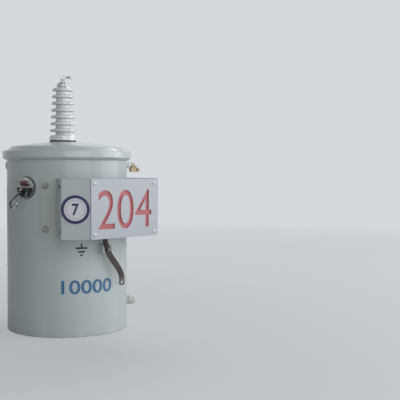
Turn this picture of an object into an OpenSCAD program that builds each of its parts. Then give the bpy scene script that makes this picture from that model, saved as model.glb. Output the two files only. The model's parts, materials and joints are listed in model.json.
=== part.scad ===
// Pole mounted distribution transformer, single phase, with a round oil tank.
// Z is up, the sign hood faces -Y, the pole hangers are on the +Y side.
// The origin is the centre of the tank's bottom face.

/* [Tank] */
// Outer radius of the tank wall
tank_r = 200; // [170:1:230]
// Height of the tank rim above the bottom face
rim_z = 580; // [540:1:640]
// Thickness of the bottom plate
bottom_t = 6; // [4:0.5:10]
// Radius of the rounded lower edge
bottom_edge_r = 4; // [2:0.5:4]
// Width of the rolled rim outside the wall
rim_w = 11; // [6:0.5:14]
// Thickness of the rolled rim
rim_t = 5; // [4:0.5:8]

/* [Cover] */
// Thickness of the cover's edge flange
cover_flange_t = 4; // [3:0.5:6]
// Height of the cover's straight neck above the rim
cover_neck_h = 16; // [12:0.5:24]
// Radius of the flat break between shoulder and dome
dome_r = 186; // [150:1:188]
// Height of the shoulder above the neck
shoulder_h = 13; // [8:0.5:20]
// Rise of the dome above the shoulder
dome_rise = 17; // [8:0.5:30]
// Height of the flat bushing seat above the dome's crown
seat_rise = 1; // [0.5:0.5:4]

/* [Clamp band] */
// Thickness of the band's sheet
band_t = 3; // [2:0.5:4]
// Height of the band's lower lip below the rim
band_drop = 15; // [12:0.5:18]
// Radial width of each lug of the clamping bolt
band_lug_w = 22; // [16:1:30]
// Thickness of each lug of the clamping bolt
band_lug_t = 6; // [4:0.5:8]
// Gap between the band's two ends
band_gap = 12; // [8:1:20]
// Radius of the clamping bolt
band_bolt_r = 4; // [3:0.5:5]
// Azimuth of the clamping bolt from the front
band_bolt_az = 118; // [100:1:124]

/* [High voltage bushing] */
// Distance of the bushing behind the tank's axis
hv_offset = 26; // [0:1:60]
// Radius of the bushing's base collar
hv_collar_r = 45; // [36:0.5:50]
// Thickness of the base gasket
hv_gasket_t = 5; // [3:0.5:8]
// Height of the base collar
hv_collar_h = 17; // [12:0.5:24]
// Number of sheds
hv_sheds = 7; // [4:1:9]
// Distance from one shed to the next
hv_pitch = 23; // [19:0.5:28]
// Height of the lowest shed's edge above the collar
hv_first_up = 12; // [8:0.5:18]
// Radius of the lowest shed
hv_shed_r = 43.5; // [34:0.5:50]
// Radius of the highest shed
hv_top_shed_r = 35.5; // [30:0.5:42]
// Thickness of a shed at its edge
hv_shed_t = 9; // [6:0.5:10]
// Length of the porcelain above the highest shed's upper edge
hv_neck_h = 5; // [5:0.5:12]
// Radius of the core at the bottom
hv_core_r = 24; // [20:0.5:28]
// Radius of the core at the top
hv_top_core_r = 21; // [18:0.5:24]
// Radius of the metal cap
hv_cap_r = 19.5; // [18:0.5:26]
// Height of the metal cap
hv_cap_h = 15; // [12:1:30]
// Radius of the terminal stud
hv_stud_r = 4.5; // [3:0.5:7]
// Radius of the wire hole in the eye connector
hv_wire_r = 5; // [3:0.5:6]
// Height of the wire hole above the cap
hv_wire_up = 19; // [18:0.5:26]
// Length of the eye connector along the wire
hv_eye_len = 14; // [10:0.5:20]
// Reach of the connector's clamping screw from the stud
hv_screw_reach = 23; // [22:1:34]
// Turn of the eye connector from the front
hv_eye_turn = -33; // [-60:1:0]

/* [Breaker gear] */
// Azimuth of the breaker gear from the front
breaker_az = -76.5; // [-82:0.5:-73]
// Distance of the breaker flange's centre below the rim
breaker_drop = 104; // [80:1:200]
// Radius of the breaker flange
breaker_r = 34; // [34:0.5:42]
// Thickness of the breaker flange
breaker_t = 3; // [2.5:0.5:8]
// Height of the raised rim on the flange
breaker_rim_h = 2.5; // [1:0.5:6]
// Width of the raised rim on the flange
breaker_rim_w = 3; // [2:0.5:3]
// Thickness of the breaker gasket at its middle
breaker_gasket_t = 2; // [1.5:0.5:5]
// Height of the signal lens above the flange's centre
lens_up = 13.5; // [13:0.5:14]
// Half the height of the signal lens
lens_r = 9; // [8:0.5:10]
// Width of the signal lens
lens_w = 31; // [26:1:34]
// Height of the signal lens's straight side
lens_side_h = 6; // [3:0.5:9]
// Rise of the signal lens's crown
lens_rise = 4; // [2:0.5:6]
// Distance of the signal lens to the left of the flange's centre
lens_side = 2; // [0:0.5:4]
// Distance of the lever hub below the flange's centre
hub_down = 8.5; // [8.5:0.5:10]
// Radius of the breaker hub
hub_r = 7.5; // [6.5:0.5:8]
// Length of the breaker hub outside the flange
hub_h = 12; // [10:0.5:16]
// Radius of the lever's shaft
lever_shaft_r = 4; // [3:0.5:5]
// Length of the lever's rod from the shaft to the ring
lever_len = 56; // [50:1:70]
// Radius of the lever's rod
lever_rod_r = 2.5; // [2:0.5:3.5]
// Middle radius of the lever's ring
lever_ring_r = 14; // [12:0.5:20]
// Slope of the lever below the horizontal at rest
lever_slope = 38; // [25:1:45]
// Height of the housing below the lens, outside the flange
housing_h = 6; // [4:0.5:6.5]
// Gap between the signal lens and the housing
housing_gap = 4; // [1:0.5:6]
// Width of the curved latch bar beside the hub
latch_w = 4.2; // [3:0.1:4.4]
// Height of the latch bar outside the housing
latch_h = 2.5; // [1.5:0.5:3]

/* [Sign hood] */
// Width of the flat sign face
sign_w = 270; // [220:1:300]
// Height of the hood
hood_h = 184; // [140:1:200]
// Distance of the hood's upper edge below the rim
hood_drop = 74; // [60:1:100]
// Distance of the sign face from the tank wall
sign_standoff = 96; // [85:0.5:130]
// Sideways run of each angled face
wing_run = 58; // [45:1:70]
// Backward run of each angled face
wing_drop = 65; // [45:1:70]
// Thickness of the hood's sheet
hood_t = 2; // [1.5:0.5:3]
// Thickness of the bracket's plate
bracket_t = 3; // [2:0.5:5]
// Azimuth of the bend between a bracket's foot and its side wall
foot_in_az = 46; // [44:1:50]
// Azimuth of the outer edge of a bracket's foot
foot_out_az = 61; // [59:1:64]
// Azimuth of the wall studs
stud_az = 56; // [54:0.5:56.5]
// Overlap of the hood's return on the bracket
return_len = 30; // [24:1:40]
// Radius of the hood bolts
hood_bolt_r = 3; // [2.5:0.5:4]
// Distance of the hood bolts from the hood's corner
hood_bolt_in = 14; // [12:0.5:16]
// Distance of all bolts from the hood's upper and lower edges
bolt_edge = 23; // [14:1:30]
// Radius of the wall studs
stud_r = 5; // [4:0.5:6]
// Thickness of the sign plate
plate_t = 4.5; // [2:0.5:6]
// Distance of the sign screws from the plate's edges
screw_in = 14; // [10:0.5:18]
// Radius of the sign screws
screw_r = 2.5; // [2:0.5:3]
// Radius of the sign screws' heads
screw_head_r = 6.5; // [4:0.5:7]
// Radius of the badge disc
badge_r = 43.5; // [30:0.5:44]
// Thickness of the badge disc
badge_t = 2; // [1:0.5:3]

/* [Earthing] */
// Distance of the earth pad's centre below the hood
pad_drop = 42; // [30:1:70]
// Distance of the earth pad's centre to the left of the tank's axis
pad_side = 7; // [0:0.5:20]
// Width of the earth pad
pad_w = 36; // [30:1:50]
// Height of the earth pad
pad_h = 27; // [26:1:40]
// Thickness of the earth pad outside the tank wall
pad_t = 22; // [10:0.5:26]
// Radius of the earth bolts
earth_bolt_r = 5; // [4:0.5:6]
// Height of the strap's hidden anchor above the earth pad
anchor_up = 92; // [70:1:110]
// Distance of the strap's anchor to the left of the earth pad
anchor_side = 13; // [6:1:20]
// Distance of the free lug below the earth pad
lug_drop = 112; // [90:1:140]
// Distance of the free lug to the right of the earth pad
lug_side = 58; // [40:1:70]
// Width of the copper strap
strap_w = 20; // [14:0.5:22]
// Thickness of the copper strap
strap_t = 3; // [2:0.5:4]
// Radius of the strap's bolted eyes
strap_eye_r = 12; // [11:0.5:15]
// Radius of the free lug
lug_r = 11; // [10:0.5:13]
// Radius of the hole in the free lug
lug_hole_r = 5.5; // [3:0.5:6]

/* [Low voltage bushings] */
// Number of low voltage bushings
lv_count = 3; // [1:1:3]
// Azimuth of the middle bushing from the front
lv_az = 95; // [93:1:97]
// Angle from one bushing to the next
lv_pitch = 22; // [18:1:23]
// Distance of the bushings' centres below the clamp band
lv_drop = 15; // [15:1:40]
// Radius of the porcelain's sheds
lv_r = 13; // [12:0.5:13.5]
// Length of the porcelain outside the wall
lv_len = 31; // [28:1:50]
// Radius of the terminal stud
lv_stud_r = 4.5; // [4:0.5:6]
// Radius of the wire hole in the terminal
lv_wire_r = 4.5; // [3:0.5:5]
// Length of the terminal's clamp
lv_clamp_len = 32; // [26:1:40]

/* [Pole hangers] */
// Distance between the two hangers
hanger_pitch = 286; // [240:1:320]
// Distance of the upper hanger's centre below the rim
hanger_drop = 98; // [90:1:140]
// Width of a hanger
hanger_w = 90; // [70:1:110]
// Height of a hanger
hanger_h = 80; // [64:1:90]
// Thickness of a hanger's plate
hanger_t = 6; // [5:0.5:8]
// Distance of the hanger's face from the tank wall
hanger_out = 55; // [44:1:70]
// Half the width of the bolt slot
slot_r = 9; // [7:0.5:11]
// Length of the bolt slot from end to end
slot_len = 40; // [30:1:48]

/* [Lifting lugs] */
// Azimuth of each lifting lug from the front
lift_az = 148; // [142:1:150]
// Radial width of a lifting lug
lift_w = 25; // [24:1:36]
// Height of a lifting lug
lift_h = 48; // [44:1:60]
// Thickness of a lifting lug
lift_t = 8; // [6:0.5:12]
// Radius of the hole in a lifting lug
lift_hole_r = 7.5; // [6:0.5:8]

/* [Drain and relief] */
// Azimuth of the drain from the front
drain_az = 62; // [54:1:90]
// Height of the drain
drain_z = 80; // [60:1:110]
// Radius of the drain cap
drain_r = 14.5; // [11:0.5:18]
// Length of the drain boss outside the wall
drain_boss_h = 9; // [6:1:16]
// Length of the drain cap
drain_cap_h = 28; // [20:1:34]
// Azimuth of the relief valve from the front
relief_az = 128; // [126:1:130]
// Distance of the relief valve below the rim
relief_drop = 100; // [90:1:140]
// Radius of the relief valve's boss
relief_r = 11; // [9:0.5:13]
// Length of the relief valve outside the wall
relief_len = 26; // [22:1:34]

/* [Hidden] */
$fn = 64;
wall_fn = 192;

// Clearance where a piece lies on the curved wall, and the radial clearance of bolts and shafts
seat = 0.2;
bolt_gap = 0.25;
shaft_gap = 0.06;
eps = 0.01;
sink = 8;

band_r = tank_r + rim_w + bolt_gap + band_t;
band_lug_z = rim_z - band_drop + 8;
band_lug_h = cover_neck_h + band_drop - 12;
neck_z = rim_z + cover_neck_h;
shoulder_z = neck_z + shoulder_h;
crown_z = shoulder_z + dome_rise;
dome_ball_r = (dome_r * dome_r + dome_rise * dome_rise) / (2 * dome_rise);
hv_seat_z = crown_z + seat_rise;
hv_collar_z = hv_seat_z + hv_gasket_t;
hv_first_z = hv_collar_z + hv_collar_h + hv_first_up;
hv_top_z = hv_first_z + (hv_sheds - 1) * hv_pitch + hv_shed_t + hv_neck_h;
front_y = tank_r + sign_standoff;
breaker_z = rim_z - breaker_drop;
hood_z = rim_z - hood_drop - hood_h;
pad_z = hood_z - pad_drop;
lv_z = rim_z - band_drop - lv_drop;
hanger_z = rim_z - hanger_drop;
relief_z = rim_z - relief_drop;
strap_out = pad_t + seat;
head_out = strap_out + strap_t + 0.4;

module on_wall(az, z) {
  rotate([0, 0, az]) translate([0, -tank_r, z]) rotate([90, 0, 0]) children();
}
module on_front(x, z) {
  translate([x, -tank_r, z]) rotate([90, 0, 0]) children();
}

// Removes what would lie inside the tank wall, so a piece seats on the curved wall
module saddle(gap = seat) {
  difference() {
    children();
    cylinder(r = tank_r + gap, h = rim_z + sink, $fn = wall_fn);
  }
}

module hex_head(r, h) cylinder(r = r, h = h, $fn = 6);

// Sheet outlines
function unit(v) = v / norm(v);
function side_of(v) = [-v[1], v[0]];
function reversed(list) = [for (i = [len(list) - 1 : -1 : 0]) list[i]];
function bend(a, b, c, r, steps = 4) =
  let (
    u = unit(a - b),
    w = unit(c - b),
    half = acos(u * w) / 2,
    reach = r / tan(half),
    centre = b + unit(u + w) * r / sin(half),
    from = b + u * reach - centre,
    to = b + w * reach - centre,
    sweep = 180 - 2 * half,
    turn = sign(from[0] * to[1] - from[1] * to[0])
  )
  [for (i = [0 : steps])
    let (q = turn * sweep * i / steps)
    centre + [from[0] * cos(q) - from[1] * sin(q), from[0] * sin(q) + from[1] * cos(q)]];
function step_normal(path, i) =
  let (
    before = side_of(unit(path[max(i, 1)] - path[max(i, 1) - 1])),
    after = side_of(unit(path[min(i + 1, len(path) - 1)] - path[min(i, len(path) - 2)])),
    mid = unit(before + after)
  )
  mid / (mid * before);
function sheet_outline(path, t) = concat(
  [for (i = [0 : len(path) - 1]) path[i] + step_normal(path, i) * t / 2],
  reversed([for (i = [0 : len(path) - 1]) path[i] - step_normal(path, i) * t / 2])
);

module tank() {
  color("#9aa4aa") {
    rotate_extrude($fn = wall_fn) polygon([
      [0, bottom_t], [tank_r, bottom_t], [tank_r, rim_z - rim_t - 2], [tank_r + 2, rim_z - rim_t],
      [tank_r + rim_w, rim_z - rim_t], [tank_r + rim_w, rim_z], [0, rim_z]
    ]);
  }
}

module bottom_plate() {
  edge_steps = 6;
  color("#9aa4aa") rotate_extrude($fn = wall_fn) polygon(concat(
    [[0, 0]],
    [for (i = [0 : edge_steps])
      let (a = 90 * i / edge_steps)
      [tank_r - bottom_edge_r + bottom_edge_r * sin(a), bottom_edge_r * (1 - cos(a))]],
    [[tank_r, bottom_t], [0, bottom_t]]
  ));
}

function dome_z(r) = crown_z - dome_ball_r + sqrt(dome_ball_r * dome_ball_r - r * r);

module cover() {
  dome_steps = 10;
  color("#a3adb3") union() {
    rotate_extrude($fn = wall_fn) polygon(concat(
      [[0, rim_z], [tank_r + rim_w, rim_z], [tank_r + rim_w, rim_z + cover_flange_t],
       [tank_r + 1, rim_z + cover_flange_t], [tank_r + 1, neck_z - 2], [tank_r - 1, neck_z],
       [tank_r - 8, neck_z + shoulder_h / 2]],
      [for (i = [dome_steps : -1 : 0]) let (r = dome_r * i / dome_steps) [r, dome_z(r)]]
    ));
    translate([0, hv_offset, neck_z]) cylinder(r = hv_collar_r + 4, h = hv_seat_z - neck_z);
  }
}

module band_profile() {
  wall_in = tank_r + rim_w + bolt_gap;
  lip = tank_r + 1 + bolt_gap;
  polygon([
    [lip, rim_z - band_drop], [lip + 3, rim_z - band_drop], [band_r, rim_z - band_drop + 8],
    [band_r, rim_z + cover_neck_h - 4], [band_r - 4, rim_z + cover_neck_h],
    [lip, rim_z + cover_neck_h], [lip, rim_z + cover_neck_h - band_t],
    [band_r - 5, rim_z + cover_neck_h - band_t], [wall_in, rim_z + cover_neck_h - band_t - 3],
    [wall_in, rim_z - band_drop + 9], [lip + 2, rim_z - band_drop + band_t],
    [lip, rim_z - band_drop + band_t]
  ]);
}

// The bolt's axis runs along X here, through the middle of both lugs
module along_band_bolt() {
  translate([0, -band_r - band_lug_w / 2 - 1, band_lug_z + band_lug_h / 2]) rotate([0, 90, 0]) children();
}

module clamp_band() {
  color("#a3adb3") rotate([0, 0, band_bolt_az]) difference() {
    union() {
      rotate_extrude($fn = wall_fn) band_profile();
      for (side = [-1, 1])
        translate([side * (band_gap + band_lug_t) / 2 - band_lug_t / 2, -band_r - band_lug_w, band_lug_z])
          cube([band_lug_t, band_lug_w + 2, band_lug_h]);
    }
    translate([-band_gap / 2, -band_r - band_lug_w - 1, rim_z - band_drop - 1])
      cube([band_gap, band_lug_w + 30, cover_neck_h + band_drop + 2]);
    along_band_bolt() translate([0, 0, -30]) cylinder(r = band_bolt_r + bolt_gap, h = 60);
  }
}

module band_bolt() {
  grip = band_gap / 2 + band_lug_t;
  head_h = 6;
  nut_h = 7;
  tail = 4;
  color("#b8bcc0") rotate([0, 0, band_bolt_az]) along_band_bolt() {
    translate([0, 0, -grip - head_h + 1]) cylinder(r = band_bolt_r, h = 2 * grip + head_h - 1 + nut_h + tail);
    translate([0, 0, -grip - head_h]) hex_head(band_bolt_r + 3.5, head_h);
    translate([0, 0, grip]) hex_head(band_bolt_r + 3.5, nut_h);
  }
}

module hv_gasket() {
  color("#2b2d30") translate([0, hv_offset, hv_seat_z]) cylinder(r = hv_collar_r - 1, h = hv_gasket_t);
}

function core_at(i) = hv_core_r + (hv_top_core_r - hv_core_r) * i / hv_sheds;
function shed_at(i) = hv_shed_r + (hv_top_shed_r - hv_shed_r) * i / max(hv_sheds - 1, 1);
module hv_porcelain() {
  t = hv_shed_t;
  color("#b9bfc6") translate([0, hv_offset, 0]) rotate_extrude() polygon(concat(
    [[0, hv_collar_z], [hv_collar_r, hv_collar_z], [hv_collar_r, hv_collar_z + hv_collar_h - 3],
     [hv_collar_r - 3, hv_collar_z + hv_collar_h], [hv_core_r + 6, hv_collar_z + hv_collar_h],
     [hv_core_r + 2, hv_collar_z + hv_collar_h + 3]],
    [for (i = [0 : hv_sheds - 1])
      let (z = hv_first_z + i * hv_pitch, r = shed_at(i), core = core_at(i))
      each [[core, z + 1], [core + 3, z + 2.5], [r - 3, z], [r - 1, z + t * 0.1], [r, z + t * 0.3],
            [r, z + t * 0.6], [r - 1.2, z + t * 0.87], [r - 4, z + t], [core + 4, z + t + 2.5],
            [core + 1, z + t + 4.5]]],
    [[hv_top_core_r, hv_top_z], [0, hv_top_z]]
  ));
}

module hv_cap() {
  color("#9fa6ab") translate([0, hv_offset, hv_top_z]) rotate_extrude() polygon([
    [0, 0], [hv_cap_r, 0], [hv_cap_r, hv_cap_h * 0.5], [hv_cap_r - 1, hv_cap_h * 0.7],
    [hv_cap_r - 4, hv_cap_h * 0.88], [hv_cap_r * 0.5, hv_cap_h], [0, hv_cap_h]
  ]);
}

// An eye on the stud, with a boss and a screw at its side that clamps the wire
module hv_terminal() {
  wall = 4.5;
  eye_r = hv_wire_r + wall;
  boss_r = 6;
  head_h = 6;
  color("#a9adb1") translate([0, hv_offset, hv_top_z + hv_cap_h]) rotate([0, 0, hv_eye_turn]) difference() {
    union() {
      cylinder(r = hv_stud_r, h = hv_wire_up);
      hex_head(hv_stud_r + 4, 5);
      translate([0, 0, hv_wire_up]) {
        translate([0, hv_eye_len / 2, 0]) rotate([90, 0, 0]) cylinder(r = eye_r, h = hv_eye_len);
        rotate([0, 90, 0]) cylinder(r = boss_r, h = eye_r + wall);
        rotate([0, 90, 0]) cylinder(r = 3.5, h = hv_screw_reach);
        translate([hv_screw_reach - 1, 0, 0]) rotate([0, 90, 0]) hex_head(6.5, head_h);
      }
    }
    translate([0, hv_eye_len, hv_wire_up]) rotate([90, 0, 0]) cylinder(r = hv_wire_r, h = 2 * hv_eye_len);
  }
}

module breaker_gasket() {
  color("#26282b") saddle() on_wall(breaker_az, breaker_z) translate([0, 0, -sink])
    cylinder(r = breaker_r + 2, h = sink + breaker_gasket_t);
}

flange_z = breaker_gasket_t;
flange_top = flange_z + breaker_t;
module breaker_flange() {
  color("#c9cbce") on_wall(breaker_az, breaker_z) difference() {
    translate([0, 0, flange_z]) cylinder(r = breaker_r, h = breaker_t + breaker_rim_h);
    translate([0, 0, flange_top]) cylinder(r = breaker_r - breaker_rim_w, h = breaker_rim_h + 1);
  }
}

piece_gap = 0.3;
housing_r = breaker_r - breaker_rim_w - piece_gap;
housing_top = lens_up - lens_r - housing_gap;
module breaker_housing() {
  color("#2f3235") on_wall(breaker_az, breaker_z) translate([0, 0, flange_top]) difference() {
    intersection() {
      cylinder(r = housing_r, h = housing_h);
      translate([-housing_r, -housing_r, 0]) cube([2 * housing_r, housing_r + housing_top, housing_h]);
    }
    translate([0, -hub_down, -1]) cylinder(r = hub_r + piece_gap, h = housing_h + 2);
  }
}

// The latch bar bends past the hub in a flat S, from the housing's upper edge to its lower one
module breaker_latch() {
  in = hub_r + latch_w / 2 + piece_gap;
  top = [in + 3, housing_top - latch_w / 2 - 1];
  bottom = [in - 1.5, 3 - housing_r + latch_w / 2];
  path = run([top, [in - 3, top[1] - 9], [in + 5, bottom[1] + 9], bottom]);
  color("#c4c7ca") on_wall(breaker_az, breaker_z) translate([0, 0, flange_top + housing_h]) union() {
    linear_extrude(latch_h) polygon(sheet_outline(path, latch_w));
    for (end = [top, bottom]) translate(end) cylinder(r = latch_w / 2 + 0.4, h = latch_h);
  }
}

module breaker_hub() {
  color("#3a3d40") on_wall(breaker_az, breaker_z) translate([0, -hub_down, flange_top]) difference() {
    cylinder(r = hub_r, h = hub_h);
    translate([0, 0, 3]) cylinder(r = lever_shaft_r + shaft_gap, h = hub_h);
  }
}

// Points of the lens's crown, from its edge to its middle
function crown(r, h, steps = 6) = [for (i = [0 : steps]) let (a = 90 * i / steps) [r * cos(a), h * sin(a)]];

module signal_lens() {
  reach = lens_w / 2 - lens_r;
  edge = lens_side_h;
  rise = lens_rise;
  color("#7a1f24") on_wall(breaker_az, breaker_z) translate([-lens_side, lens_up, flange_top]) union() {
    translate([-reach, -lens_r, 0]) cube([2 * reach, 2 * lens_r, edge]);
    translate([-reach, 0, edge]) rotate([90, 0, 90]) linear_extrude(2 * reach)
      polygon(concat(crown(lens_r, rise), reversed([for (p = crown(lens_r, rise)) [-p[0], p[1]]])));
    for (side = [-1, 1]) translate([side * reach, 0, 0]) {
      cylinder(r = lens_r, h = edge);
      translate([0, 0, edge]) rotate_extrude() polygon(concat([[0, 0]], crown(lens_r, rise)));
    }
  }
}

// The rod runs into the ring a little inside the ring's own line, where its end is buried in the thicker ring
lever_z = hub_h + piece_gap;
lever_ring_wire = lever_rod_r + 0.3;
module breaker_lever() {
  plate_h = 8;
  ring_in = 1.5;
  color("#c4c7ca") on_wall(breaker_az, breaker_z) translate([0, -hub_down, flange_top]) {
    translate([0, 0, 3.5]) cylinder(r = lever_shaft_r, h = lever_z);
    translate([0, 0, lever_z]) cylinder(r = hub_r - 0.5, h = plate_h);
    rotate([0, 0, 180 + lever_slope]) translate([0, 0, lever_z + plate_h / 2]) {
      rotate([0, 90, 0]) cylinder(r = lever_rod_r, h = lever_len - sqrt(ring_in * (2 * lever_ring_r - ring_in)));
      translate([lever_len, lever_ring_r - ring_in, 0]) rotate_extrude()
        translate([lever_ring_r, 0]) circle(r = lever_ring_wire);
    }
  }
}

// Plan of the right bracket, from the outer edge of its foot to its outer end
foot_r = tank_r + seat + bracket_t / 2;
foot_arc = [for (i = [0 : 4]) let (a = foot_out_az + (foot_in_az - foot_out_az) * i / 4) [foot_r * sin(a), -foot_r * cos(a)]];
wing_end = [sign_w / 2 + wing_run, -(front_y - wing_drop)];
bracket_dir = unit(wing_end - foot_arc[4]);
bracket_side = [-bracket_dir[1], bracket_dir[0]];
hood_corner = wing_end + bracket_side * (hood_t + bracket_t) / 2 + bracket_dir * 6;
hood_path_right = concat(
  [hood_corner - bracket_dir * return_len],
  bend(hood_corner - bracket_dir * return_len, hood_corner, [sign_w / 2, -front_y], 5),
  bend(hood_corner, [sign_w / 2, -front_y], [0, -front_y], 5)
);
hood_path = concat(hood_path_right, reversed([for (p = hood_path_right) [-p[0], p[1]]]));

module at_hood_bolt() {
  at = hood_corner - bracket_dir * hood_bolt_in + bracket_side * hood_t / 2;
  angle = atan2(bracket_dir[1], bracket_dir[0]);
  for (z = [hood_z + bolt_edge, hood_z + hood_h - bolt_edge])
    translate([at[0], at[1], z]) rotate([0, 0, angle]) rotate([-90, 0, 0]) children();
}

module hood_bolt_holes() {
  depth = hood_t + bracket_t;
  at_hood_bolt() translate([0, 0, -2 * depth]) cylinder(r = hood_bolt_r + bolt_gap, h = 3 * depth);
}

module right_bracket() {
  color("#a0a9af") difference() {
    saddle() translate([0, 0, hood_z]) linear_extrude(hood_h)
      polygon(sheet_outline(concat(foot_arc, [wing_end]), bracket_t));
    for (z = [hood_z + bolt_edge, hood_z + hood_h - bolt_edge])
      on_wall(stud_az, z) cylinder(r = stud_r + bolt_gap, h = 4 * bracket_t);
    hood_bolt_holes();
  }
}

module left_bracket() mirror([1, 0, 0]) right_bracket();

// Washers and domed cap nuts on the wall's studs
module bracket_nuts() {
  foot_top = seat + bracket_t + piece_gap;
  washer_t = 1.6;
  nut_h = 4;
  dome_h = 5;
  color("#a3adb3") for (side = [-1, 1], z = [hood_z + bolt_edge, hood_z + hood_h - bolt_edge])
    saddle() on_wall(side * stud_az, z) {
      translate([0, 0, -2]) cylinder(r = stud_r, h = foot_top + washer_t + nut_h + 2);
      translate([0, 0, foot_top]) cylinder(r = stud_r + 5, h = washer_t);
      translate([0, 0, foot_top + washer_t]) hex_head(stud_r + 3.8, nut_h);
      translate([0, 0, foot_top + washer_t + nut_h])
        rotate_extrude() polygon(concat([[0, 0]], crown(stud_r + 3, dome_h)));
    }
}

module sign_hood() {
  color("#a6afb5") difference() {
    translate([0, 0, hood_z]) linear_extrude(hood_h) polygon(sheet_outline(hood_path, hood_t));
    for (m = [0, 1]) mirror([m, 0, 0]) hood_bolt_holes();
    at_sign_screw() translate([0, 0, -4 * hood_t]) cylinder(r = screw_r + bolt_gap, h = 8 * hood_t);
  }
}

module hood_bolts() {
  color("#aeb3b7") for (m = [0, 1]) mirror([m, 0, 0]) at_hood_bolt() {
    translate([0, 0, -hood_t - bracket_t - 6]) cylinder(r = hood_bolt_r, h = hood_t + bracket_t + 8);
    translate([0, 0, 0]) hex_head(hood_bolt_r + 3, 4);
    translate([0, 0, -hood_t - bracket_t - 5]) hex_head(hood_bolt_r + 3, 5);
  }
}

plate_y = front_y + hood_t / 2;
module at_sign_screw() {
  for (x = [-1, 1], z = [screw_in, hood_h - screw_in])
    translate([x * (sign_w / 2 - screw_in), -plate_y, hood_z + z]) rotate([90, 0, 0]) children();
}

module rounded_plate(w, h, r, t) {
  linear_extrude(t) union() {
    translate([-w / 2 + r, -h / 2]) square([w - 2 * r, h]);
    translate([-w / 2, -h / 2 + r]) square([w, h - 2 * r]);
    for (x = [-1, 1], y = [-1, 1]) translate([x * (w / 2 - r), y * (h / 2 - r)]) circle(r = r);
  }
}

module sign_plate() {
  color("#b9c6d0") difference() {
    translate([0, -plate_y, hood_z + hood_h / 2]) rotate([90, 0, 0]) rounded_plate(sign_w, hood_h, 6, plate_t);
    at_sign_screw() translate([0, 0, -1]) cylinder(r = screw_r + bolt_gap, h = plate_t + 2);
  }
}

module sign_screws() {
  tail = 5;
  head_h = 3;
  color("#c9cdd1") at_sign_screw() {
    translate([0, 0, -hood_t - tail]) cylinder(r = screw_r, h = plate_t + hood_t + tail + 1);
    translate([0, 0, plate_t]) rotate_extrude() polygon(concat([[0, 0]], crown(screw_head_r, head_h)));
  }
}

module badge_disc() {
  face_a = hood_corner;
  face_b = [sign_w / 2, -front_y];
  middle = (face_a + face_b) / 2;
  angle = atan2(face_b[1] - face_a[1], face_b[0] - face_a[0]);
  color("#d6d6de") mirror([1, 0, 0]) translate([middle[0], middle[1], hood_z + hood_h / 2])
    rotate([0, 0, angle]) rotate([-90, 0, 0]) translate([0, 0, hood_t / 2]) cylinder(r = badge_r, h = badge_t);
}

// The strap's run in its own flat plane, seen from the front: x across and z up
pad_at = [-pad_side, pad_z];
anchor_at = pad_at + [-anchor_side, anchor_up];
lug_at = pad_at + [lug_side, -lug_drop];
lug_top_z = lug_at[1] + lug_r + 4;
strap_top = [anchor_at, pad_at + [-anchor_side, anchor_up * 0.65], pad_at + [-anchor_side * 1.4, anchor_up * 0.3], pad_at];
strap_tail = [pad_at, pad_at + [0, -lug_drop * 0.22], lug_at + [0, lug_drop * 0.41], [lug_at[0], lug_top_z - 2]];
function bezier(p, t) =
  p[0] * pow(1 - t, 3) + 3 * p[1] * t * pow(1 - t, 2) + 3 * p[2] * t * t * (1 - t) + p[3] * pow(t, 3);
strap_steps = 12;
function run(p) = [for (i = [0 : strap_steps]) bezier(p, i / strap_steps)];

// A flat sheet in the strap's plane, standing on the earth pad
module strap_sheet() {
  translate([0, -tank_r - strap_out, 0]) rotate([90, 0, 0]) linear_extrude(strap_t) children();
}

module earth_strap() {
  color("#5f484a") difference() {
    union() {
      strap_sheet() polygon(sheet_outline(run(strap_top), strap_w * 0.85));
      strap_sheet() polygon(sheet_outline(run(strap_tail), strap_w));
      strap_sheet() translate(anchor_at) circle(r = strap_eye_r);
      strap_sheet() translate(pad_at) circle(r = strap_eye_r);
    }
    for (at = [anchor_at, pad_at]) on_front(at[0], at[1]) cylinder(r = earth_bolt_r + bolt_gap, h = sign_standoff);
    translate([lug_at[0] - 2 * strap_w, -front_y, lug_top_z - strap_w]) cube([4 * strap_w, front_y, strap_w]);
  }
}

module strap_lug() {
  color("#77716c") strap_sheet() difference() {
    union() {
      translate(lug_at) circle(r = lug_r);
      translate([lug_at[0] - strap_w / 2, lug_at[1]]) square([strap_w, lug_top_z - lug_at[1]]);
    }
    translate(lug_at) circle(r = lug_hole_r);
  }
}

module earth_pad() {
  color("#9aa4aa") difference() {
    saddle() translate([pad_at[0] - pad_w / 2, -tank_r - pad_t, pad_z - pad_h / 2]) cube([pad_w, pad_t + sink, pad_h]);
    on_front(pad_at[0], pad_z) translate([0, 0, -2]) cylinder(r = earth_bolt_r + bolt_gap, h = pad_t + 4);
  }
}

module earth_bolt() {
  washer_t = 1.6;
  color("#8b8580") saddle() on_front(pad_at[0], pad_z) {
    translate([0, 0, -2]) cylinder(r = earth_bolt_r, h = head_out + 4);
    translate([0, 0, head_out]) cylinder(r = earth_bolt_r + 3.5, h = washer_t);
    translate([0, 0, head_out + washer_t]) hex_head(earth_bolt_r + 2, 5);
  }
}

module strap_anchor() {
  color("#8b8580") saddle() on_front(anchor_at[0], anchor_at[1]) {
    translate([0, 0, -sink]) cylinder(r = earth_bolt_r, h = sink + head_out + 4);
    translate([0, 0, -sink]) cylinder(r = earth_bolt_r + 4, h = sink + pad_t);
    translate([0, 0, head_out]) hex_head(earth_bolt_r + 3, 6);
  }
}

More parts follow.
